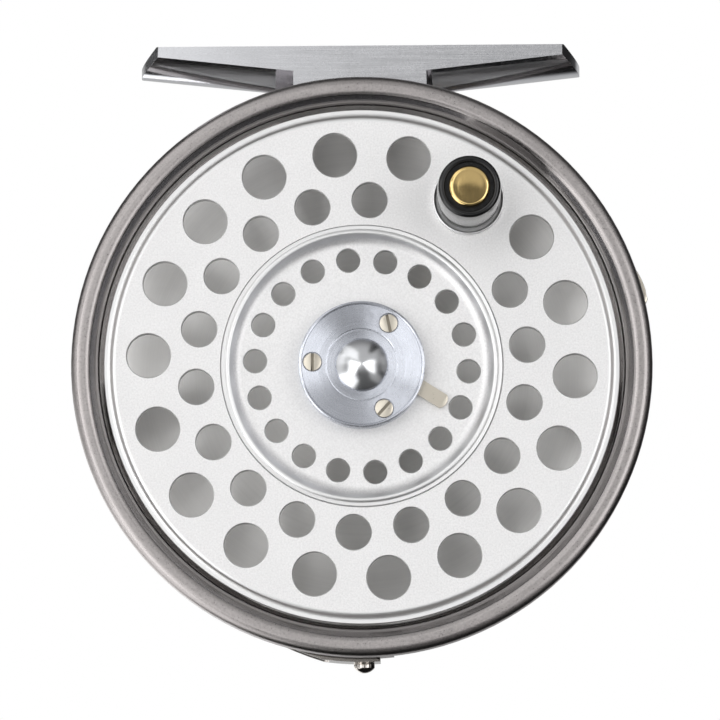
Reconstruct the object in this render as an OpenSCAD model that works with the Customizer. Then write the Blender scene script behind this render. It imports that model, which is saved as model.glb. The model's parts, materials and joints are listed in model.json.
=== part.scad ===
// Fly reel for trout lines: a caged frame, a perforated spool that lifts off its spindle,
// and a spring-and-pawl check with a regulator on the rim.
//
// Every piece is drawn with the reel lying on its back: X to the right, Y towards the foot,
// Z towards the handle, z = 0 on the outside of the back plate, angles anticlockwise from X.
// stood_up() then stands the reel on end, foot up and handle to the front (-Y), with the
// origin on the foot's saddle, where the rod lies.

/* [Frame] */
// Outside radius of the front ring
ring_r = 41.3; // [41:0.1:42]
// Inside radius of the front ring and of the back rim
ring_bore_r = 37.3; // [37.2:0.1:37.5]
// How far the front ring stands proud of the spool's face
ring_proud = 1.7; // [1:0.1:2.5]
// Outside radius of the back plate
back_r = 40.5; // [40.2:0.1:40.7]
// Thickness of the back plate
back_t = 2.2; // [2:0.1:2.3]
// Outside radius of the pillars between the back rim and the front ring
pillar_r = 40.9; // [40.8:0.1:41]
// Thickness of the pillars
pillar_t = 3.4; // [2.8:0.1:3.5]

/* [Spool] */
// Height of the spool's face over the outside of the back plate
face_z = 26; // [26:0.5:28]
// Radius of the spool's front plate
spool_r = 36.7; // [36.4:0.1:36.8]
// Radius of the spool's rear flange
flange_r = 36.2; // [36:0.1:36.8]
// Radius of the arbor that the line is wound on
arbor_r = 10.5; // [9.5:0.5:14]
// Depth of the dish at the centre of the face
dish_depth = 0.7; // [0.5:0.1:1.1]
// Radius of the raised bead around the dish
bead_r = 19.2; // [18.9:0.1:19.4]

/* [Holes in the face] */
// Radius of the outer circle of holes
outer_hole_ring_r = 30.35; // [30:0.05:30.8]
// Diameter of the outer holes
outer_hole_d = 6.27; // [5:0.01:6.5]
// Radius of the middle circle of holes
mid_hole_ring_r = 23.7; // [23.4:0.05:24]
// Diameter of the middle holes
mid_hole_d = 5.05; // [4:0.01:5.2]
// Radius of the inner circle of holes, in the dish
inner_hole_ring_r = 15.2; // [14.8:0.05:15.4]
// Diameter of the inner holes
inner_hole_d = 3.35; // [3:0.01:3.6]

/* [Handle] */
// Distance of the handle from the reel's axis
handle_r = 28.15; // [28:0.05:28.4]
// Direction of the handle in the drawn position
handle_angle = 57; // [56.6:0.1:57.4]
// Height of the handle over the face
handle_h = 17.5; // [14:0.5:20]
// Radius of the grip at its fullest
grip_r = 4.5; // [4.3:0.05:4.6]

/* [Foot] */
// Length of the foot
foot_l = 63.2; // [60:0.1:66]
// Width of the foot
foot_w = 14.2; // [13.6:0.1:14.2]
// Height of the foot's top edges over the reel's axis
foot_top = 46.5; // [46:0.1:47]
// Radius of the saddle that the rod lies in
saddle_r = 10.5; // [9:0.5:13]
// Width of the block that joins the wings to the frame
block_w = 19.3; // [18:0.1:21]
// Radius of the rounded ends of the foot, seen from above
foot_end_r = 10.9; // [9:0.1:12]
// Radius of the wings' round underside
wing_r = 11; // [11:0.1:14]
// Slope of the wings' underside
wing_slope = 6.2; // [5:0.1:7]

/* [Check] */
// Teeth on the check gear, a multiple of 12
gear_teeth = 24; // [24:12:36]
// Radius over the tips of the check gear's teeth
gear_r = 9.5; // [9.3:0.1:9.5]
// Distance of the pawls' posts from the reel's axis
pawl_post_r = 14.5; // [14.5:0.1:14.6]

/* [Fits] */
// Radius of the spindle
spindle_r = 2.4; // [2.3:0.05:2.5]
// Radial clearance of everything that turns on a pin
fit = 0.05; // [0.02:0.01:0.08]

/* [Hidden] */
round_fn = 180;
small_fn = 48;
eps = 0.01;
far = 60;

// Depths, measured from the outside of the back plate
rim_top = 6.9;
ring_z = face_z - 4.7;
crown_z = face_z + ring_proud;
mid_z = (rim_top + ring_z - 0.1) / 2;
recess_z = 0.7;
gear_z = 4.2;
flange_z = 6.2;
flange_t = 1.2;
plate_t = 2;
dish_z = face_z - dish_depth;
rim_step_z = face_z - 0.57;
saddle_lip = 0.3;

// The rod's resting line on the saddle, over the reel's axis
saddle_axis = foot_top + sqrt(pow(saddle_r, 2) - pow(foot_w / 2 - saddle_lip, 2));
saddle_floor = saddle_axis - saddle_r;
wing_tip_z = foot_top - 3.75;

// Pillars: middle angle, angle spanned and how far they are cut back. The first carries
// the foot, the second is cut back for the end of the line guard.
tab_inset = 0.6;
pillars = [[91.5, 33, 0], [188, 13, tab_inset], [270, 12, 0], [352, 12, 0]];

// Line guard: its two screwed ends sit on the second and third pillars
guard_t = 0.9;
guard_w = 10;
rail_w = 1.8;
rail_r = 40.1;
tab_r = pillar_r + guard_t / 2;
inset_r = pillar_r - tab_inset;
guard_from = 184;
guard_to = 273.2;

// Regulator
slot_from = 15.6;
slot_to = 28.4;
button_top_r = 43;
button_r = back_r + 0.15;

// Latch under the disc, drawn along its own lever: x towards the tip
lever_angle = -32.4;
lever_offset = 1.8;
lever_w = 2.15;
lever_reach = 13.04;
latch_pivot_x = -5.3;
latch_hole_r = 2.9;
latch_z = dish_z + 0.1;
latch_t = 0.8;
groove_r = spindle_r - 0.4;

// Disc over the latch
disc_r = 9;
disc_h = 3.4;
disc_z = dish_z + disc_h;
dome_r = 3.75;
dome_base_z = disc_z - 1;
dome_lip = 0.3;
dome_base_a = 48;
dome_tip_a = 77;
cavity_z = dish_z + 1.9;
cavity_r = 8;
cover_screws_r = 7;
cover_screw_angles = [56.6, 176.6, 296.6];
cover_slot_angles = [101.6, 89.6, 47.6];

// First hole of the outer and inner circles, and of the middle one
hole_angle = 16.9;
mid_hole_angle = 6.9;

bush_r = 4;
handle_pin_r = 1.8;
check_screw_r = 6.6;
main_pawl_angle = 90;
spare_pawl_angle = 210;
spare_turn = 55;

function polar(r, a) = [r * cos(a), r * sin(a)];

// Points along an arc of radius r round c
function arc(c, r, a0, a1, n) = [for (i = [0 : n]) c + polar(r, a0 + (a1 - a0) * i / n)];

// Outline of a strip of width w along a path of points
function unit(v) = v / norm(v);
function left_of(v) = [-v[1], v[0]];
function path_normal(p, i) =
    let (n = len(p) - 1,
         before = left_of(unit(p[max(i, 1)] - p[max(i, 1) - 1])),
         after = left_of(unit(p[min(i, n - 1) + 1] - p[min(i, n - 1)])))
    (before + after) / (1 + before * after);
function strip(p, w) = concat(
    [for (i = [0 : len(p) - 1]) p[i] + path_normal(p, i) * w / 2],
    [for (i = [len(p) - 1 : -1 : 0]) p[i] - path_normal(p, i) * w / 2]);

module stood_up() translate([0, mid_z, -saddle_floor]) rotate([90, 0, 0]) children();

module turned(points) rotate_extrude($fn = round_fn) polygon(points);

module at(r, a) rotate([0, 0, a]) translate([r, 0, 0]) children();

// A rod of radius r from z0 to z1
module rod(r, z0, z1, fn = small_fn) translate([0, 0, z0]) cylinder(r = r, h = z1 - z0, $fn = fn);

// Local z points outwards along a radius at angle a, at mid width
module outwards(a) translate([0, 0, mid_z]) rotate([0, 0, a]) rotate([0, 90, 0]) children();

// A slice of a tube, between two radii, two angles and two heights
module slice(r0, r1, a0, a1, z0, z1)
    translate([0, 0, z0]) linear_extrude(z1 - z0) intersection() {
        difference() {
            circle(r = r1, $fn = round_fn);
            circle(r = r0, $fn = round_fn);
        }
        polygon([[0, 0], polar(far, a0), polar(far, (a0 + a1) / 2), polar(far, a1)]);
    }

// Slotted round head, its face at z1
module slotted(r, z0, z1, turn = 0, slot_w = 0.4, slot_h = 0.4)
    difference() {
        rod(r, z0, z1);
        rotate([0, 0, turn]) translate([-r - 1, -slot_w / 2, z1 - slot_h])
            cube([2 * r + 2, slot_w, slot_h + 1]);
    }

// ---- Frame: back plate, rim, pillars and front ring in one piece

module back_plate() turned([
    [0, recess_z], [12, recess_z], [12.6, 0], [33.4, 0], [33.8, 0.5], [36.6, 0.5], [37, 0],
    [back_r - 1, 0], [back_r - 0.3, 0.4], [back_r, 1.1], [back_r, rim_top - 0.3],
    [back_r - 0.3, rim_top], [ring_bore_r + 0.2, rim_top], [ring_bore_r, rim_top - 0.2],
    [ring_bore_r, back_t], [0, back_t]
]);

module front_ring() turned(concat(
    [[ring_bore_r + 0.2, ring_z], [ring_r - 0.4, ring_z], [ring_r, ring_z + 0.4]],
    arc([ring_r - 1.4, crown_z - 1.4], 1.4, 0, 90, 12),
    arc([ring_bore_r + 2.15, crown_z - 1.2], 1.2, 90, 137, 8),
    arc([ring_bore_r + 2.73, crown_z - 2.89], 2.78, 137, 160, 4),
    [[ring_bore_r, crown_z - 2.2], [ring_bore_r, ring_z + 0.2]]
));

module frame() color("dimgray") stood_up() difference() {
    union() {
        back_plate();
        front_ring();
        for (p = pillars)
            slice(pillar_r - pillar_t, pillar_r - p[2], p[0] - p[1] / 2, p[0] + p[1] / 2,
                  rim_top - 1, ring_z + 1);
    }
    rod(spindle_r, -1, back_t + 1);
    for (a = [90, 210, 330]) at(4, a) {
        rod(0.7, -1, back_t + 1);
        rod(1.2, -1, 1.5);
    }
    for (a = [main_pawl_angle, spare_pawl_angle]) rotate([0, 0, a]) {
        translate([pawl_post_r, 0, 0]) rod(1, -1, back_t + 1);
        translate(stud_place()) rod(0.8, -1, back_t + 1);
    }
    foot_screw_holes();
    for (a = [188, 270]) outwards(a) rod(0.9, 30, far);
    slice(ring_bore_r - 1, back_r + 2, slot_from, slot_to, 2.9, 4.7);
}

// ---- Foot and its screws

// Round under-body of one wing, rising towards the tip
module wing_body() translate([foot_l / 2, wing_tip_z + wing_r, mid_z])
    rotate([0, 0, wing_slope]) rotate([0, -90, 0]) translate([0, 0, -4])
        cylinder(r = wing_r, h = foot_l / 2 + 4, $fn = round_fn);

module foot_plan() union() {
    square([foot_l - 16, foot_w], center = true);
    for (s = [-1, 1]) intersection() {
        translate([s * (foot_l / 2 - foot_end_r), 0]) circle(r = foot_end_r, $fn = round_fn);
        translate([s * foot_l / 4, 0]) square([foot_l / 2, foot_w], center = true);
    }
}

module block_plan() let (w = block_w / 2, d = foot_w / 2, c = 0.2)
    polygon([[-w, -d + c], [-w + c, -d], [w - c, -d], [w, -d + c],
             [w, d - c], [w - c, d], [-w + c, d], [-w, d - c]]);

// Stands a plan (x, z) up between two heights
module raised(y0, y1) translate([0, y1, mid_z]) rotate([90, 0, 0])
    linear_extrude(y1 - y0) children();

module foot_screw_holes() for (x = [-5.5, 5.5]) translate([x, 0, mid_z]) rotate([-90, 0, 0]) {
    rod(1.2, 36, saddle_floor - 0.7);
    rod(2.2, 30, 38.8);
}

module foot() color("silver") stood_up() difference() {
    union() {
        intersection() {
            raised(36, foot_top) foot_plan();
            union() for (s = [0, 1]) mirror([s, 0, 0]) wing_body();
        }
        raised(36, foot_top) block_plan();
    }
    translate([-far, saddle_axis, mid_z]) rotate([0, 90, 0])
        cylinder(r = saddle_r, h = 2 * far, $fn = round_fn);
    rod(pillar_r, 0, 30, round_fn);
    foot_screw_holes();
}

module foot_screws() color("lightsteelblue") stood_up()
    for (x = [-5.5, 5.5]) translate([x, 0, mid_z]) rotate([90, 0, 0]) {
        rod(1.2, -(saddle_floor - 0.9), -38.8 + eps);
        slotted(2.2, -38.8, -38.05, 0, 0.6, 0.4);
    }

// ---- Line guard

function ramp(a, a0, a1) = min(1, max(0, (a - a0) / (a1 - a0)));
function guard_r(a) = rail_r + max((tab_r - rail_r) * ramp(a, 251, 262),
                                   (tab_r - tab_inset - rail_r) * ramp(a, 207, 196));

module line_guard() color("darkkhaki") stood_up() difference() {
    union() {
        for (z = [mid_z - guard_w / 2, mid_z + guard_w / 2 - rail_w])
            translate([0, 0, z]) linear_extrude(rail_w)
                polygon(strip([for (a = [196 : 3 : 265]) polar(guard_r(a), a)], guard_t));
        slice(inset_r, inset_r + guard_t, guard_from, 196.5, mid_z - guard_w / 2,
              mid_z + guard_w / 2);
        slice(pillar_r, pillar_r + guard_t, 263, guard_to, mid_z - guard_w / 2,
              mid_z + guard_w / 2);
    }
    for (a = [188, 270]) outwards(a) rod(0.9, 30, far);
    outwards(188) rod(1.6, inset_r + 0.35, far);
}

module guard_screws() color("silver") stood_up() {
    outwards(188) {
        rod(0.9, pillar_r - pillar_t + 0.1, inset_r + 0.35 + eps);
        slotted(1.6, inset_r + 0.35, inset_r + guard_t - 0.1, 20);
    }
    outwards(270) {
        rod(0.9, pillar_r - pillar_t + 0.1, pillar_r + guard_t + eps);
        intersection() {
            rod(1.5, pillar_r + guard_t, pillar_r + guard_t + 1.5);
            translate([0, 0, pillar_r + guard_t - 0.4]) sphere(r = 1.85, $fn = small_fn);
        }
    }
}

// ---- Spindle

module spindle() color("lightgray") stood_up() difference() {
    turned([
        [0, recess_z], [spindle_r, recess_z], [spindle_r, back_t], [5.6, back_t], [5.6, 3.8],
        [3, 3.8], [spindle_r, 4.2], [spindle_r, latch_z - 0.1], [groove_r, latch_z - 0.1],
        [groove_r, latch_z + latch_t + 0.1], [spindle_r, latch_z + latch_t + 0.1],
        [spindle_r, cavity_z - 0.5], [1.7, cavity_z - 0.2], [0, cavity_z - 0.2]
    ]);
    for (a = [90, 210, 330]) at(4, a) rod(0.7, back_t - 1, 3.6);
}

module spindle_screws() color("gray") stood_up()
    for (a = [90, 210, 330]) at(4, a) {
        rod(0.7, 1.5 - eps, 3.4);
        rotate([180, 0, 0]) slotted(1.2, -1.5, -recess_z, a / 2 + 10, 0.35, 0.35);
    }

// ---- Check: posts, pawls and leaf springs on the back plate

function stud_place() = [pawl_post_r + 6.2, -11.4, 0];

module pawl_posts() color("lightgray") stood_up()
    for (a = [main_pawl_angle, spare_pawl_angle]) at(pawl_post_r, a) {
        rod(1, 0, back_t);
        rod(2.2, back_t, gear_z);
        rod(1.45, gear_z, 6);
    }

module spring_studs() color("lightgray") stood_up()
    for (a = [main_pawl_angle, spare_pawl_angle]) rotate([0, 0, a]) translate(stud_place())
        difference() {
            union() {
                rod(0.8, 0, back_t);
                rod(1.4, back_t, 6);
            }
            rotate([0, 0, -59]) translate([-3, -0.22, gear_z]) cube([6, 0.44, 3]);
        }

// Pawl with its post at the origin and its nose towards -x
module pawl() translate([0, 0, gear_z + 0.1]) linear_extrude(1.5) difference() {
    polygon([[-5.45, 0.2], [-4.5, 0.6], [-1.2, 2.6], [1.6, 3], [2.4, 2.6],
             [2.4, -2.6], [1.6, -3], [-1.2, -2.6], [-4.5, -0.6], [-5.45, -0.2]]);
    circle(r = 1.45 + fit, $fn = small_fn);
}

module pawl_main() color("goldenrod") stood_up() at(pawl_post_r, main_pawl_angle) pawl();

module pawl_spare() color("goldenrod") stood_up()
    at(pawl_post_r, spare_pawl_angle) rotate([0, 0, spare_turn]) pawl();

// Leaf spring of a pawl: it lies across the pawl's back and runs out through its stud
module leaf(points) translate([pawl_post_r, 0, gear_z + 0.2]) linear_extrude(1.3)
    polygon(strip(points, 0.4));

module pawl_spring_main() color("slategray") stood_up() rotate([0, 0, main_pawl_angle])
    leaf([[2.66, 3.4], [2.66, -3], [4.4, -8.4], [7.4, -13.4], [13, -19]]);

module pawl_spring_spare() color("slategray") stood_up() rotate([0, 0, spare_pawl_angle])
    leaf([[3.8, 3.4], [3.8, -3], [4.4, -8.4], [7.4, -13.4]]);

// ---- Regulator: a button on the rim and a curved slide behind it

module regulator_button() color("tan") stood_up() {
    translate([0, 0, 1]) linear_extrude(5) difference() {
        polygon(concat(
            [[0, 0], polar(button_top_r - 1.1, 14.2), polar(button_top_r - 0.5, 14.4)],
            [for (a = [15, 16]) polar(button_top_r - 0.1, a)],
            [for (a = [17 : 1 : 27]) polar(button_top_r - 1.9 * pow((a - 17) / 10, 2), a)]));
        circle(r = button_r, $fn = round_fn);
    }
    slice(34.2, button_r + 0.3, 16.5, 22.5, 3, 4.6);
}

module regulator_slide() color("silver") stood_up() difference() {
    union() {
        slice(33.9, 36.9, 14, 49, 4.6, 5.2);
        slice(30.5, 34.4, 45, 49, 4.6, 5.2);
    }
    for (a = [17.6, 21.4]) at(35.5, a) rod(0.5, 4, 6);
}

module regulator_rivets() color("gray") stood_up()
    for (a = [17.6, 21.4]) at(35.5, a) rod(0.5, 4.6, 5.4);

// ---- Spool and the pieces that turn with it

module hub_bush() color("peru") stood_up() difference() {
    rod(bush_r, gear_z + 0.2, dish_z - 0.1, round_fn);
    rod(spindle_r + fit, 0, far, round_fn);
}

module spool_blank() let (b = bead_r) turned(concat(
    [[bush_r + fit, flange_z], [flange_r - 0.1, flange_z], [flange_r, flange_z + 0.1],
     [flange_r, flange_z + flange_t - 0.1], [flange_r - 0.1, flange_z + flange_t],
     [arbor_r + 1.2, flange_z + flange_t]],
    arc([arbor_r + 1.2, flange_z + flange_t + 1.2], 1.2, 255, 180, 5),
    arc([arbor_r + 1.2, face_z - 4], 1.2, 180, 90, 6),
    [[b - 0.2, face_z - 2.8], [b + 1, face_z - plate_t], [spool_r - 0.15, face_z - plate_t],
     [spool_r, face_z - plate_t + 0.15],
     [spool_r, rim_step_z - 0.1], [spool_r - 0.1, rim_step_z]],
    arc([spool_r - 0.47, rim_step_z + 0.8], 0.8, 270, 223, 5),
    arc([spool_r - 1.7, face_z - 0.8], 0.8, 42, 90, 5),
    // The bead: a fine groove, a narrow step, a round top and a cove down into the dish
    [[b + 0.96, face_z], [b + 0.86, face_z - 0.22], [b + 0.76, face_z + 0.3],
     [b + 0.33, face_z + 0.24]],
    arc([b - 0.12, face_z + 0.15], 0.45, 18, 140, 7),
    arc([b - 2.23, dish_z + 1.74], 1.74, 320, 270, 6),
    [[bush_r + fit, dish_z]]
));

// A drilled hole with its edge broken
module face_hole(d, top_z) union() {
    rod(d / 2, face_z - 4, far);
    translate([0, 0, top_z - 0.1]) cylinder(r1 = d / 2, r2 = d / 2 + 0.2, h = 0.2, $fn = small_fn);
}

module hole_ring(r, d, first, skip, top_z) for (k = [0 : 17])
    if (len(search(k, skip)) == 0) at(r, first + 20 * k) face_hole(d, top_z);

module spool() color("gainsboro") stood_up() difference() {
    spool_blank();
    hole_ring(outer_hole_ring_r, outer_hole_d, hole_angle, [2], face_z);
    hole_ring(mid_hole_ring_r, mid_hole_d, mid_hole_angle, [2, 3], face_z);
    hole_ring(inner_hole_ring_r, inner_hole_d, hole_angle, [], dish_z);
    at(handle_r, handle_angle) rod(handle_pin_r, 20, far);
    for (a = cover_screw_angles) at(cover_screws_r, a) rod(0.8, dish_z - 4.5, far);
    for (a = [0, 120, 240]) at(check_screw_r, a) rod(0.8, 0, flange_z + 4);
    along_lever() translate([latch_pivot_x, lever_offset, 0]) rod(0.7, dish_z - 2, far);
}

// Teeth are symmetrical, because the check has to click both ways
module check_gear() color("goldenrod") stood_up() difference() {
    translate([0, 0, gear_z]) linear_extrude(flange_z - gear_z)
        let (pitch = 360 / gear_teeth)
        polygon([for (i = [0 : gear_teeth - 1], p = [[-0.06, -1], [0.06, -1], [0.44, 0], [0.56, 0]])
                 polar(gear_r + p[1], (i + p[0]) * pitch)]);
    rod(bush_r + 0.3, 0, far, round_fn);
    for (a = [0, 120, 240]) at(check_screw_r, a) {
        rod(0.8, 0, far);
        rod(1.4, 0, gear_z + 0.8);
    }
}

module gear_screws() color("gray") stood_up() for (a = [0, 120, 240]) at(check_screw_r, a) {
    rod(0.8, gear_z + 0.8 - eps, flange_z + 3.8);
    rotate([180, 0, 0]) slotted(1.4, -gear_z - 0.8, -gear_z, 30);
}

// ---- Latch and the disc over it

module along_lever() rotate([0, 0, lever_angle]) children();

module latch_cover() color("whitesmoke") stood_up() difference() {
    union() {
        turned([
            [cavity_r, dish_z], [disc_r, dish_z], [disc_r, disc_z - 0.25],
            [disc_r - 0.08, disc_z - 0.07], [disc_r - 0.25, disc_z], [disc_r - 0.42, disc_z - 0.07],
            [disc_r - 0.5, disc_z - 0.2], [6.2, disc_z - 0.68], [5.2, disc_z - 0.84],
            [5.08, disc_z - 0.9], [4.95, disc_z - 0.87], [dome_r, dome_base_z],
            [3, dome_base_z], [3, cavity_z],
            [cavity_r, cavity_z]
        ]);
        for (a = cover_screw_angles) at(cover_screws_r, a) rod(1.9, dish_z, cavity_z + 0.2);
    }
    for (a = cover_screw_angles) at(cover_screws_r, a) {
        rod(0.8, 0, far);
        rod(1.42, disc_z - 1.3, far);
    }
    along_lever() translate([6, lever_offset - 1.3, dish_z - 1]) cube([5, 4, 2.1]);
}

module cover_screws() color("khaki") stood_up() for (i = [0 : 2])
    at(cover_screws_r, cover_screw_angles[i]) {
        rod(0.8, dish_z - 4.3, disc_z - 1.3 + eps);
        slotted(1.26, disc_z - 1.3, disc_z - 0.5,
                cover_slot_angles[i] - cover_screw_angles[i], 0.42, 0.35);
    }

// Pointed dome: a shallow arc from a short lip to the tip, between two directions of its normal
module hub_dome() color("white") stood_up() let (
    side_r = dome_r / (cos(dome_base_a) - cos(dome_tip_a)),
    c = [dome_r - side_r * cos(dome_base_a), dome_base_z + dome_lip - side_r * sin(dome_base_a)])
    turned(concat(
        [[0, cavity_z], [3, cavity_z], [3, dome_base_z], [dome_r, dome_base_z]],
        arc(c, side_r, dome_base_a, dome_tip_a - 2, 13),
        [[0, c[1] + side_r * sin(dome_tip_a)]]
    ));

module latch_lever() color("tan") stood_up() along_lever()
    translate([0, 0, latch_z]) linear_extrude(latch_t) difference() {
        union() {
            translate([latch_pivot_x, lever_offset - lever_w / 2])
                square([lever_reach - 0.6 - latch_pivot_x, lever_w]);
            intersection() {
                translate([0, lever_offset - lever_w / 2]) square([lever_reach, lever_w]);
                translate([lever_reach - 1.34, lever_offset]) circle(r = 1.34, $fn = small_fn);
            }
            translate([latch_pivot_x, lever_offset]) circle(r = 1.7, $fn = small_fn);
            circle(r = 4.4, $fn = small_fn);
        }
        translate([-0.14, -0.42]) circle(r = latch_hole_r, $fn = small_fn);
        translate([latch_pivot_x, lever_offset]) circle(r = 0.7 + fit, $fn = small_fn);
    }

module latch_pin() color("lightgray") stood_up() along_lever()
    translate([latch_pivot_x, lever_offset, 0]) rod(0.7, dish_z - 2, cavity_z - 0.1);

module latch_spring() color("slategray") stood_up() along_lever()
    translate([0, 0, latch_z + 0.05]) linear_extrude(0.7)
        polygon(strip([[-4.2, 5.9], [-2, 4.9], [1.5, 4.45], [3.4, 3.95], [5.4, 3.08]], 0.3));

// ---- Handle

module at_handle() at(handle_r, handle_angle) children();

module handle_cup() color("silver") stood_up() at_handle() turned([
    [handle_pin_r, face_z], [5.1, face_z], [5.1, face_z + 1.5], [4.78, face_z + 1.65],
    [4.78, face_z + 0.5], [handle_pin_r, face_z + 0.5]
]);

module handle_pin() color("gold") stood_up() at_handle() let (tip = face_z + handle_h) turned([
    [0, face_z - plate_t - 0.8], [2.2, face_z - plate_t - 0.8], [2.6, face_z - plate_t - 0.4],
    [2.6, face_z - plate_t], [handle_pin_r, face_z - plate_t], [handle_pin_r, tip - 1.1],
    [2.9, tip - 1.1], [2.9, tip - 0.35], [2.5, tip - 0.12], [1.6, tip - 0.03], [0, tip]
]);

module handle_grip() color("black") stood_up() at_handle() let (tip = face_z + handle_h) turned([
    [handle_pin_r + fit, face_z + 0.6], [grip_r - 0.25, face_z + 0.6],
    [grip_r - 0.1, face_z + 2], [grip_r - 0.05, face_z + 4], [grip_r, face_z + 7],
    [grip_r, tip - 5], [grip_r - 0.05, tip - 2.2], [grip_r - 0.25, tip - 1],
    [grip_r - 0.6, tip - 0.45], [3.6, tip - 0.3], [3.55, tip - 0.45],
    [3.5, tip - 1.2], [handle_pin_r + fit, tip - 1.2]
]);

frame();
foot();
foot_screws();
line_guard();
guard_screws();
spindle();
spindle_screws();
pawl_posts();
spring_studs();
pawl_main();
pawl_spare();
pawl_spring_main();
pawl_spring_spare();
regulator_button();
regulator_slide();
regulator_rivets();
hub_bush();
spool();
check_gear();
gear_screws();
latch_cover();
cover_screws();
hub_dome();
latch_lever();
latch_pin();
latch_spring();
handle_cup();
handle_pin();
handle_grip();
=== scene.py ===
"""Fly reel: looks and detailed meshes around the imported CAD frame.

Lengths in this file are in millimetres in the bench frame of the part: X to the right,
Y towards the foot, Z towards the handle, z = 0 on the outside of the back plate, the reel's
axis at x = y = 0. bench() turns them into metres in the shared frame.
"""
import json
import math

import bmesh
import bpy
from mathutils import Matrix, Quaternion, Vector


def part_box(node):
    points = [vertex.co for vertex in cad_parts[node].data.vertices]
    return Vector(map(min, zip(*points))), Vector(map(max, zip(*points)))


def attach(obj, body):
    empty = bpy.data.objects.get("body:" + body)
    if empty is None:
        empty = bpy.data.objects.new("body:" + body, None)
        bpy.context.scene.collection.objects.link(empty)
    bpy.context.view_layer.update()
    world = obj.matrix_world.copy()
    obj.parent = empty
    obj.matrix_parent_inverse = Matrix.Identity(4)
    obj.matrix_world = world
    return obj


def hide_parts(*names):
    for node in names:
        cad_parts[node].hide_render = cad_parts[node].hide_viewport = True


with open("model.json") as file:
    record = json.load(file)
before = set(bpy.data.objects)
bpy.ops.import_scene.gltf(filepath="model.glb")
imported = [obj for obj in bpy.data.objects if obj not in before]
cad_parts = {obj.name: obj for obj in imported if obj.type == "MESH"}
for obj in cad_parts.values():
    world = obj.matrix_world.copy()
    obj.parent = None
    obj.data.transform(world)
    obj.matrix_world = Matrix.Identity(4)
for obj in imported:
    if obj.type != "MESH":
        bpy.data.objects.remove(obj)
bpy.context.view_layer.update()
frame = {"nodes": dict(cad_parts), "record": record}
nodes = frame["nodes"]

MM = 0.001
bush_lo, bush_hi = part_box("hub_bush")
AXIS_X = (bush_lo.x + bush_hi.x) / 2
AXIS_Z = (bush_lo.z + bush_hi.z) / 2
BACK_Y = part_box("frame")[1].y

FACE_Z = 26.0                           # the spool's face
PLATE_T = 2.0                           # its face plate
CAVITY_Z, DOME_BASE_Z = 27.2, 27.7      # the dome's underside and its seat on the disc
HANDLE_R, HANDLE_ANGLE = 28.15, 57.0
HANDLE_TIP_Z = FACE_Z + 17.5


def bench(x, y, z):
    return Vector((AXIS_X + x * MM, BACK_Y - z * MM, AXIS_Z + y * MM))


def polar(r, a):
    return r * math.cos(math.radians(a)), r * math.sin(math.radians(a))


def arc(c, r, a0, a1, n):
    """Points along an arc of radius r round c."""
    return [(c[0] + r * math.cos(math.radians(a0 + (a1 - a0) * i / n)),
             c[1] + r * math.sin(math.radians(a0 + (a1 - a0) * i / n))) for i in range(n + 1)]


# ---- Camera, in front of the reel and a little below its axis, looking up

CAM_ELEVATION, CAM_AZIMUTH, CAM_ROLL = -4.85, 0.48, -0.36
CAM_DISTANCE = 0.9
CAM_LENS, CAM_SENSOR = 316.8, 36.0
CAM_SHIFT = (-1.8 / 720, 5.7 / 720)     # parts of the picture's width


def make_camera():
    target = bench(0, 0, FACE_Z)
    e, a = math.radians(CAM_ELEVATION), math.radians(CAM_AZIMUTH)
    back = Vector((math.sin(a) * math.cos(e), -math.cos(a) * math.cos(e), math.sin(e)))
    cam = bpy.data.objects.new("camera", bpy.data.cameras.new("camera"))
    bpy.context.scene.collection.objects.link(cam)
    cam.data.lens, cam.data.sensor_width = CAM_LENS, CAM_SENSOR
    cam.data.shift_x, cam.data.shift_y = CAM_SHIFT
    cam.location = target + back * CAM_DISTANCE
    cam.rotation_mode = "QUATERNION"
    roll = Quaternion((0, 0, 1), math.radians(CAM_ROLL))
    cam.rotation_quaternion = (-back).to_track_quat("-Z", "Y") @ roll
    cam.data.clip_start, cam.data.clip_end = 0.01, 20
    bpy.context.scene.camera = cam


make_camera()


# ---- Lights, world and floor

PANEL_DISTANCE = 1.1


def panel(name, across, up, width, height, radiance):
    """A softbox as the reel's face sees it: across and up degrees from straight in front,
    width and height degrees wide and high."""
    data = bpy.data.lights.new(name, "AREA")
    data.shape = "RECTANGLE"
    data.size = 2 * PANEL_DISTANCE * math.tan(math.radians(width / 2))
    data.size_y = 2 * PANEL_DISTANCE * math.tan(math.radians(height / 2))
    data.energy = radiance * math.pi * data.size * data.size_y
    o = bpy.data.objects.new(name, data)
    bpy.context.scene.collection.objects.link(o)
    a, u = math.radians(across), math.radians(up)
    outwards = Vector((math.sin(a) * math.cos(u), -math.cos(a) * math.cos(u), math.sin(u)))
    level = Vector((math.cos(a), math.sin(a), 0))
    upright = outwards.cross(level)
    place = bench(0, 0, FACE_Z) + outwards * PANEL_DISTANCE
    o.matrix_world = Matrix([[level[i], upright[i], outwards[i], place[i]] for i in range(3)]
                            + [[0, 0, 0, 1]])


for row in (
    ("softbox_right", 40, -4, 24, 44, 2.15),
    ("softbox_left", -40, -8, 24, 50, 2.25),
    ("front_left", -13, 2, 21, 50, 0.88),
    ("front_right", 20, 0, 16, 36, 0.6),
    ("side_left", -76, 0, 26, 60, 0.8),
    ("side_right", 74, 6, 14, 40, 0.3),
    ("high_left", -50, 42, 40, 28, 0.8),
    ("low_left", -66, -43, 52, 44, 1.6),
    ("low_right", 56, -36, 30, 20, 0.3),
    ("behind_left", -115, -22, 40, 50, 0.8),
    ("rear", -150, -20, 40, 40, 1.3),
):
    panel(*row)


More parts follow.
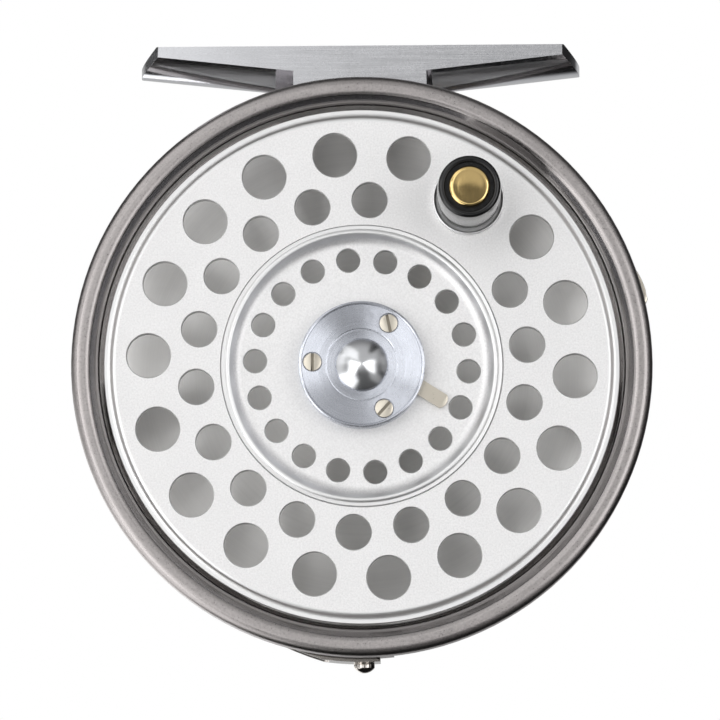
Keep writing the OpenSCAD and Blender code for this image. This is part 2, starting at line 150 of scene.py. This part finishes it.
# Brightness of the room as the reel sees it
CEILING_GREY = 0.58
FLOOR_GREY = (0.12, 0.75)       # off to the sides, straight in front
BEHIND, RIGHT = 0.1, 0.4        # the rest of the room is dimmed to these parts of its brightness
BACK_WALL_GREY = 0.5
CAMERA_SPOT = 0.25              # what the dark round the camera leaves
TO_CAMERA = (0.0, -0.9994, -0.035)


def make_world():
    """White to the camera. To the reel: a light ceiling, a floor that is dark to the sides,
    a dark spot where the camera stands, a dim right side, dimmer still beside and behind the
    reel, and a grey wall straight behind it."""
    world = bpy.data.worlds.new("studio")
    world.use_nodes = True
    t = world.node_tree
    t.nodes.clear()

    def add(kind, links=(), **values):
        n = t.nodes.new("ShaderNode" + kind)
        for k, v in values.items():
            setattr(n, k, v)
        for k, source in links:
            if isinstance(source, (int, float, tuple)):
                n.inputs[k].default_value = source
            else:
                t.links.new(source, n.inputs[k])
        return n

    def ramp(value, start, end, low, high):
        return add("MapRange", ((0, value), (1, start), (2, end), (3, low), (4, high)),
                   interpolation_type="SMOOTHSTEP").outputs[0]

    def mix(factor, low, high):
        rise = add("Math", ((0, high), (1, low)), operation="SUBTRACT").outputs[0]
        part = add("Math", ((0, rise), (1, factor)), operation="MULTIPLY").outputs[0]
        return add("Math", ((0, part), (1, low)), operation="ADD").outputs[0]

    def times(a, b):
        return add("Math", ((0, a), (1, b)), operation="MULTIPLY").outputs[0]

    way = add("TexCoord").outputs["Generated"]
    xyz = add("SeparateXYZ", ((0, way),))
    front = times(xyz.outputs["Y"], -1.0)
    low = ramp(front, 0.78, 0.92, *FLOOR_GREY)
    room = mix(ramp(xyz.outputs["Z"], 0.06, 0.12, 0.0, 1.0), low, CEILING_GREY)
    room = times(room, ramp(front, 0.0, 0.5, BEHIND, 1.0))
    room = times(room, ramp(xyz.outputs["X"], 0.7, 0.9, 1.0, RIGHT))
    wall = ramp(xyz.outputs["Y"], 0.72, 0.92, 0.0, BACK_WALL_GREY)
    room = add("Math", ((0, room), (1, wall)), operation="ADD").outputs[0]
    to_camera = add("VectorMath", ((0, way), (1, TO_CAMERA)),
                    operation="DOT_PRODUCT").outputs["Value"]
    room = times(room, ramp(to_camera, 0.9858, 0.9890, 1.0, CAMERA_SPOT))

    seen = add("Background", (("Color", (1, 1, 1, 1)), ("Strength", 1.0)))
    lit = add("Background", (("Color", (1, 1, 1, 1)), ("Strength", room)))
    path = add("LightPath")
    both = add("MixShader", ((0, path.outputs["Is Camera Ray"]), (1, lit.outputs[0]),
                             (2, seen.outputs[0])))
    add("OutputWorld", ((0, both.outputs[0]),))
    bpy.context.scene.world = world


make_world()
bpy.context.scene.view_settings.view_transform = "Standard"


# ---- Materials

class Nodes:
    """Short hand for building a material's node tree."""

    def __init__(self, name):
        self.material = bpy.data.materials.new(name)
        self.material.use_nodes = True
        self.tree = self.material.node_tree
        self.shader = self.tree.nodes["Principled BSDF"]

    def add(self, kind, links=None, **values):
        n = self.tree.nodes.new("ShaderNode" + kind)
        for k, v in values.items():
            if hasattr(n, k):
                setattr(n, k, v)
            else:
                n.inputs[k].default_value = v
        for k, source in (links or {}).items():
            self.tree.links.new(source, n.inputs[k])
        return n

    def math(self, operation, a, b=None):
        n = self.tree.nodes.new("ShaderNodeMath")
        n.operation = operation
        for i, v in enumerate((a, b)):
            if v is None:
                continue
            if isinstance(v, (int, float)):
                n.inputs[i].default_value = v
            else:
                self.tree.links.new(v, n.inputs[i])
        return n.outputs[0]

    def noise(self, vector, scale, detail=3.0, rough=0.55):
        return self.add("TexNoise", {"Vector": vector}, Scale=scale, Detail=detail,
                        Roughness=rough).outputs["Fac"]

    def spread(self, source, low, high):
        """Maps a noise's middle range onto low..high."""
        n = self.add("MapRange", {"Value": source})
        for k, v in (("From Min", 0.3), ("From Max", 0.7), ("To Min", low), ("To Max", high)):
            n.inputs[k].default_value = v
        return n.outputs[0]


def turned_coordinates(b, where, cx, cy, per_mm, round_scale):
    """Coordinates that run fast along the radius and slowly round the circle."""
    centre = bench(cx, cy, 0)
    xyz = b.add("SeparateXYZ", {0: where})
    dx = b.math("SUBTRACT", xyz.outputs["X"], centre.x)
    dz = b.math("SUBTRACT", xyz.outputs["Z"], centre.z)
    radius = b.math("SQRT", b.math("ADD", b.math("MULTIPLY", dx, dx), b.math("MULTIPLY", dz, dz)))
    angle = b.math("ARCTAN2", dz, dx)
    fast = b.math("MULTIPLY", radius, per_mm / MM)
    depth = b.math("MULTIPLY", xyz.outputs["Y"], per_mm / MM)
    cos_a = b.math("MULTIPLY", b.math("COSINE", angle), round_scale)
    sin_a = b.math("MULTIPLY", b.math("SINE", angle), round_scale)
    row = b.add("CombineXYZ", {0: b.math("ADD", fast, cos_a), 1: b.math("ADD", depth, sin_a)})
    return row.outputs[0]


def finish_of(name, colour, rough, metallic=1.0, grain=0.25, grain_height=0.004, rough_range=0.08,
              tint=0.05, speckle=0.0, blotch=6.0, turned=None, brushed=None, anisotropic=0.0):
    """A metal or plastic with grain, uneven roughness and, where given, machining lines.

    grain is the grain's size and grain_height its height, in mm; blotch is the size of the
    slow colour variation; turned = (cx, cy, lines per mm, height); brushed = (sizes along
    X, Y and Z, height).
    """
    b = Nodes(name)
    where = b.add("TexCoord").outputs["Object"]
    fine = b.noise(where, 1 / (grain * MM), 4.0, 0.6)
    slow = b.noise(where, 1 / (blotch * MM), 2.0, 0.5)
    height = b.math("MULTIPLY", fine, grain_height)
    rough_source = b.spread(fine, rough - rough_range, rough + rough_range)
    tone = b.spread(slow, 1 - tint, 1 + tint)
    if speckle:
        tone = b.math("MULTIPLY", tone, b.spread(fine, 1 - speckle, 1 + speckle))
    if turned:
        cx, cy, per_mm, line_height = turned
        row = turned_coordinates(b, where, cx, cy, per_mm, 0.35)
        rings = b.noise(row, 1.0, 3.0, 0.7)
        height = b.math("ADD", height, b.math("MULTIPLY", rings, line_height))
        rough_source = b.math("ADD", rough_source, b.spread(rings, -rough_range, rough_range))
        tone = b.math("MULTIPLY", tone, b.spread(rings, 1 - tint, 1 + tint))
    if brushed:
        sizes, line_height = brushed
        stretch = b.add("Mapping", {"Vector": where})
        stretch.inputs["Scale"].default_value = [1 / (s * MM) for s in sizes]
        hairs = b.noise(stretch.outputs[0], 1.0, 3.0, 0.65)
        height = b.math("ADD", height, b.math("MULTIPLY", hairs, line_height))
        rough_source = b.math("ADD", rough_source, b.spread(hairs, -rough_range, rough_range))
        tone = b.math("MULTIPLY", tone, b.spread(hairs, 1 - tint, 1 + tint))
    bump = b.add("Bump", {"Height": height}, Strength=1.0, Distance=MM)
    paint = b.add("VectorMath", {1: tone}, operation="MULTIPLY")
    paint.inputs[0].default_value = colour
    b.tree.links.new(paint.outputs[0], b.shader.inputs["Base Color"])
    b.tree.links.new(rough_source, b.shader.inputs["Roughness"])
    b.tree.links.new(bump.outputs[0], b.shader.inputs["Normal"])
    b.shader.inputs["Metallic"].default_value = metallic
    b.shader.inputs["Anisotropic"].default_value = anisotropic
    if anisotropic:
        # highlights run across the lines: outwards on turned faces, upright on brushed ones
        tangent = b.add("Tangent", direction_type="RADIAL", axis="X" if brushed else "Y")
        b.tree.links.new(tangent.outputs[0], b.shader.inputs["Tangent"])
        b.shader.inputs["Anisotropic Rotation"].default_value = 0.0 if brushed else 0.25
    b.material.diffuse_color = (*colour, 1)
    return b.material


HANDLE_X, HANDLE_Y = polar(HANDLE_R, HANDLE_ANGLE)
finishes = {
    "frame": finish_of("gunmetal_satin", (0.42, 0.394, 0.388), 0.34, grain=0.26,
                       grain_height=0.006, tint=0.04, speckle=0.14),
    "foot": finish_of("brushed_aluminium", (0.70, 0.705, 0.73), 0.24, grain=0.3,
                      grain_height=0.0006, brushed=((9.0, 0.14, 0.14), 0.001), tint=0.04,
                      rough_range=0.04, anisotropic=0.5),
    "spool": finish_of("blasted_silver", (0.89, 0.885, 0.885), 0.52, grain=0.26,
                       grain_height=0.006, tint=0.012, speckle=0.09, rough_range=0.05),
    "disc": finish_of("turned_aluminium", (0.56, 0.58, 0.635), 0.26, grain=0.8,
                      grain_height=0.0, turned=(0, 0, 3.2, 0.0018), tint=0.07,
                      rough_range=0.04, anisotropic=0.85),
    "flange": finish_of("turned_silver", (0.90, 0.895, 0.88), 0.36, grain=0.3,
                        grain_height=0.001, turned=(0, 0, 3.0, 0.0012), tint=0.03,
                        rough_range=0.03, anisotropic=0.9),
    "foot_polished": finish_of("polished_aluminium", (0.70, 0.705, 0.74), 0.12, grain=0.6,
                               grain_height=0.0004, brushed=((14.0, 0.3, 0.3), 0.0012),
                               tint=0.03, rough_range=0.04),
    # painted shade: a darker, glossier copy of the gunmetal that stands for the shade on the
    # ring's inner bevel
    "frame_turned_painted_shade": finish_of("gunmetal_turned_painted_shade", (0.25, 0.235, 0.23), 0.13, grain=0.3,
                              grain_height=0.0006, rough_range=0.04, tint=0.05,
                              turned=(0, 0, 3.0, 0.0006)),
    "spool_turned": finish_of("silver_turned", (0.86, 0.86, 0.86), 0.42, grain=0.25,
                              grain_height=0.001, tint=0.02, turned=(0, 0, 3.0, 0.0006),
                              rough_range=0.03),
    "dome": finish_of("polished_dome", (0.73, 0.74, 0.76), 0.23, grain=1.2,
                      grain_height=0.0004, rough_range=0.015, tint=0.01),
    "nickel_silver": finish_of("nickel_silver", (0.68, 0.63, 0.54), 0.3, grain=0.3,
                               grain_height=0.0006, tint=0.02, rough_range=0.03),
    "guard_polished": finish_of("guard_polished", (0.50, 0.47, 0.44), 0.12, grain=0.8,
                                grain_height=0.0008, rough_range=0.03),
    "steel": finish_of("turned_steel", (0.56, 0.56, 0.57), 0.28, grain=0.3,
                       grain_height=0.002, turned=(0, 0, 6.0, 0.003)),
    "spring_steel": finish_of("spring_steel", (0.40, 0.42, 0.46), 0.25, grain=0.5,
                              grain_height=0.001),
    "bronze": finish_of("bearing_bronze", (0.66, 0.43, 0.24), 0.3, grain=0.3,
                        grain_height=0.002, turned=(0, 0, 6.0, 0.003)),
    "check_brass": finish_of("check_brass", (0.72, 0.53, 0.25), 0.3, grain=0.25,
                             grain_height=0.003),
    # painted shade: a dark copy of the nickel silver put on the cover screws' slots to stand for
    # the shade in them
    "slot_painted_shade": finish_of("slot_painted_shade", (0.30, 0.27, 0.22), 0.4, grain=0.3,
                            grain_height=0.0006),
    "cap_brass": finish_of("polished_brass", (0.82, 0.60, 0.26), 0.08, grain=0.8,
                           grain_height=0.0004, brushed=((0.12, 0.12, 4.0), 0.0005),
                           tint=0.03, rough_range=0.02),
    "cup": finish_of("bright_cup", (0.92, 0.92, 0.92), 0.5, grain=0.4, grain_height=0.001,
                     turned=(HANDLE_X, HANDLE_Y, 5.0, 0.001)),
    "grip": finish_of("black_acetal", (0.008, 0.008, 0.009), 0.14, metallic=0.0, grain=0.5,
                      grain_height=0.001, rough_range=0.05, tint=0.15),
}

slot_of = {}
for name, o in nodes.items():
    slot_of[name] = o.data.materials[0].name.split(".")[0]
    o.data.materials.clear()
    o.data.materials.append(finishes[slot_of[name]])
for name in ("line_guard", "guard_screws"):
    nodes[name].data.materials[0] = finishes["guard_polished"]


def second_finish(node, key, test):
    """Gives the faces of a CAD node that pass a test another finish. The test is given each
    face's middle, as its height over the back plate and radius, and its normal."""
    mesh = nodes[node].data
    mesh.materials.append(finishes[key])
    for f in mesh.polygons:
        c = f.center
        if test((BACK_Y - c.y) / MM, math.hypot(c.x - AXIS_X, c.z - AXIS_Z) / MM, f.normal):
            f.material_index = len(mesh.materials) - 1


FLANGE_TOP_Z, ARBOR_R, ARBOR_TOP_Z = 8.7, 11.8, 23.5
TURNED_FROM_Z, BEAD_IN_R, BEAD_OUT_R, RIM_R = 25.15, 18.25, 20.14, 34.99
RING_FROM_Z, BEVEL_R = 25, 38.66
SLOT_FROM_Z, SLOT_TO_Z = 27.7, 28.12


def on_flange(z, r, n):
    return z < FLANGE_TOP_Z or (r < ARBOR_R and z < ARBOR_TOP_Z)


def on_bead_or_rim(z, r, n):
    raised = z > TURNED_FROM_Z and abs(z - FACE_Z) > 1e-3
    return raised and (BEAD_IN_R < r < BEAD_OUT_R or r > RIM_R)


# The spool's face is blasted; its rear flange, arbor, bead and rim are left turned. The ring's
# bevel is turned and its colour darkened as painted shade, the foot's undersides and right end
# are polished, and the screw slots get a dark colour as painted shade in the recesses
second_finish("spool", "flange", on_flange)
second_finish("spool", "spool_turned", on_bead_or_rim)
second_finish("frame", "frame_turned_painted_shade", lambda z, r, n: z > RING_FROM_Z and r < BEVEL_R)
second_finish("foot", "foot_polished", lambda z, r, n: n.z < -0.25 or n.x > 0.15)
second_finish("cover_screws", "slot_painted_shade", lambda z, r, n: SLOT_FROM_Z < z < SLOT_TO_Z)


def soften(node, width, segments=2, angle=32):
    """Breaks the sharp edges of a CAD node with a small round, in mm."""
    o = nodes[node]
    if "custom_normal" in o.data.attributes:
        o.data.attributes.remove(o.data.attributes["custom_normal"])
    o.data.polygons.foreach_set("use_smooth", [True] * len(o.data.polygons))
    weld = o.modifiers.new("weld", "WELD")
    weld.merge_threshold = 1e-6
    bevel = o.modifiers.new("bevel", "BEVEL")
    bevel.width = width * MM
    bevel.segments = segments
    bevel.limit_method = "ANGLE"
    bevel.angle_limit = math.radians(angle)
    bevel.use_clamp_overlap = True
    even = o.modifiers.new("normals", "WEIGHTED_NORMAL")
    even.keep_sharp = False
    even.weight = 60


for name in ("foot", "line_guard", "regulator_button", "guard_screws", "foot_screws"):
    soften(name, 0.1)
for name in ("latch_lever", "cover_screws"):
    soften(name, 0.04)


# ---- New pieces in mesh code

def new_piece(name, bm, node, body, sharp_deg=32):
    """Puts a finished mesh in the scene in place of a CAD node."""
    bmesh.ops.recalc_face_normals(bm, faces=bm.faces)
    for f in bm.faces:
        f.smooth = True
    for e in bm.edges:
        if e.is_manifold and e.calc_face_angle(0) > math.radians(sharp_deg):
            e.smooth = False
    mesh = bpy.data.meshes.new(name)
    bm.to_mesh(mesh)
    bm.free()
    o = bpy.data.objects.new(name, mesh)
    bpy.context.scene.collection.objects.link(o)
    mesh.materials.append(finishes[slot_of[node]])
    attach(o, body)
    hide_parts(node)
    return o


def lathe(profile, cx=0.0, cy=0.0, steps=128):
    """A turned shape: (radius, height) points, from one end of the outline to the other.

    An outline that doesn't start and end on the axis is closed into a ring.
    """
    bm = bmesh.new()
    rings = []
    for r, z in profile:
        if r < 1e-6:
            rings.append([bm.verts.new(bench(cx, cy, z))])
            continue
        rings.append([bm.verts.new(bench(cx + polar(r, 360 * k / steps)[0],
                                         cy + polar(r, 360 * k / steps)[1], z))
                      for k in range(steps)])
    pairs = list(zip(rings, rings[1:]))
    if len(rings[0]) > 1 and len(rings[-1]) > 1:
        pairs.append((rings[-1], rings[0]))
    for low, high in pairs:
        for k in range(steps):
            m = (k + 1) % steps
            corners = [low[k % len(low)], low[m % len(low)], high[m % len(high)],
                       high[k % len(high)]]
            unique = [v for i, v in enumerate(corners) if v not in corners[:i]]
            if len(unique) > 2:
                bm.faces.new(unique)
    return bm


def body_of(node):
    bodies = frame["record"]["behaviour"]["bodies"]
    return next(body for body, members in bodies.items() if node in members)


# Dome: a shallow arc from its lip to the pointed tip
DOME_R, DOME_LIP, DOME_BASE_A, DOME_TIP_A = 3.75, 0.3, 48, 77
side_r = DOME_R / (math.cos(math.radians(DOME_BASE_A)) - math.cos(math.radians(DOME_TIP_A)))
dome_c = (DOME_R - side_r * math.cos(math.radians(DOME_BASE_A)),
          DOME_BASE_Z + DOME_LIP - side_r * math.sin(math.radians(DOME_BASE_A)))
dome_top = dome_c[1] + side_r * math.sin(math.radians(DOME_TIP_A))
dome = (
    [(0, CAVITY_Z), (3, CAVITY_Z), (3, DOME_BASE_Z), (DOME_R - 0.06, DOME_BASE_Z),
     (DOME_R, DOME_BASE_Z + 0.06)]
    + arc((DOME_R - 0.09, DOME_BASE_Z + DOME_LIP - 0.12), 0.09, 0, DOME_BASE_A, 3)
    + arc(dome_c, side_r, DOME_BASE_A + 0.8, DOME_TIP_A - 0.6, 40)
    + [(0.03, dome_top - 0.03), (0, dome_top - 0.02)]
)
new_piece("hub_dome_turned", lathe(dome, steps=160), "hub_dome", body_of("hub_dome"), 50)

# Handle: bright cup, riveted brass pin and black grip
cup = (
    [(1.8, FACE_Z), (5.0, FACE_Z), (5.1, FACE_Z + 0.1), (5.1, FACE_Z + 1.3)]
    + arc((4.94, FACE_Z + 1.49), 0.16, 0, 180, 8)
    + [(4.78, FACE_Z + 0.7)] + arc((4.58, FACE_Z + 0.7), 0.2, 0, -90, 4)
    + [(1.8, FACE_Z + 0.5)]
)
new_piece("handle_cup_turned", lathe(cup, HANDLE_X, HANDLE_Y), "handle_cup", body_of("handle_cup"))

tip = HANDLE_TIP_Z
pin = (
    [(0, FACE_Z - PLATE_T - 0.8), (2.2, FACE_Z - PLATE_T - 0.8)]
    + arc((2.2, FACE_Z - PLATE_T - 0.4), 0.4, -90, 0, 6)
    + [(2.6, FACE_Z - PLATE_T), (1.8, FACE_Z - PLATE_T), (1.8, tip - 1.1), (2.84, tip - 1.1),
       (2.9, tip - 1.04)]
    + arc((2.37, tip - 0.57), 0.53, 2, 86, 10)
    + [(2.2, tip - 0.045), (1.6, tip - 0.022), (1.0, tip - 0.008), (0.5, tip - 0.002), (0, tip)]
)
new_piece("handle_pin_turned", lathe(pin, HANDLE_X, HANDLE_Y), "handle_pin", body_of("handle_pin"))

GRIP_R, GRIP_BORE = 4.5, 1.85
grip = (
    [(GRIP_BORE, FACE_Z + 0.6), (4.1, FACE_Z + 0.6)]
    + arc((4.1, FACE_Z + 0.8), 0.2, -90, -5, 5)
    + [(4.36, FACE_Z + 1.6), (4.41, FACE_Z + 2.6), (4.45, FACE_Z + 4), (4.48, FACE_Z + 6),
       (GRIP_R, FACE_Z + 8), (GRIP_R, tip - 5), (4.48, tip - 3.6), (4.44, tip - 2.4),
       (4.38, tip - 1.7)]
    + arc((3.84, tip - 1.0), 0.52, 5, 80, 12)
    + [(3.75, tip - 0.46)]
    + arc((3.65, tip - 0.58), 0.1, 70, 180, 5)
    + [(3.5, tip - 1.15), (3.45, tip - 1.2), (GRIP_BORE, tip - 1.2)]
)
new_piece("handle_grip_moulded", lathe(grip, HANDLE_X, HANDLE_Y), "handle_grip",
          body_of("handle_grip"))


# ---- Floor, well below the reel, which hangs from its foot

FLOOR_RADIUS, FLOOR_DROP = 3.0, 0.24    # in metres, as the light panels' distance is
FLOOR_RINGS, FLOOR_STEPS = 6, 48
FLOOR_GLOW = 0.45                       # keeps it pale past the panels' light


def make_floor():
    bm = bmesh.new()
    level = AXIS_Z - FLOOR_DROP
    rings = []
    for ring in range(1, FLOOR_RINGS + 1):
        corners = [polar(FLOOR_RADIUS * ring / FLOOR_RINGS, 360 * k / FLOOR_STEPS)
                   for k in range(FLOOR_STEPS)]
        rings.append([bm.verts.new((x, y, level)) for x, y in corners])
    centre = bm.verts.new((0, 0, level))
    for k in range(FLOOR_STEPS):
        m = (k + 1) % FLOOR_STEPS
        bm.faces.new((centre, rings[0][k], rings[0][m]))
        for inner, outer in zip(rings, rings[1:]):
            bm.faces.new((inner[k], outer[k], outer[m], inner[m]))
    mesh = bpy.data.meshes.new("floor")
    bm.to_mesh(mesh)
    bm.free()
    o = bpy.data.objects.new("floor", mesh)
    bpy.context.scene.collection.objects.link(o)
    paper = finish_of("floor_paper", (0.86, 0.86, 0.86), 0.8, metallic=0.0,
                      grain=3.0, grain_height=0.05, tint=0.02, blotch=80)
    shader = paper.node_tree.nodes["Principled BSDF"]
    shader.inputs["Emission Color"].default_value = (1, 1, 1, 1)
    shader.inputs["Emission Strength"].default_value = FLOOR_GLOW
    mesh.materials.append(paper)
    o.visible_glossy = o.visible_diffuse = False


make_floor()
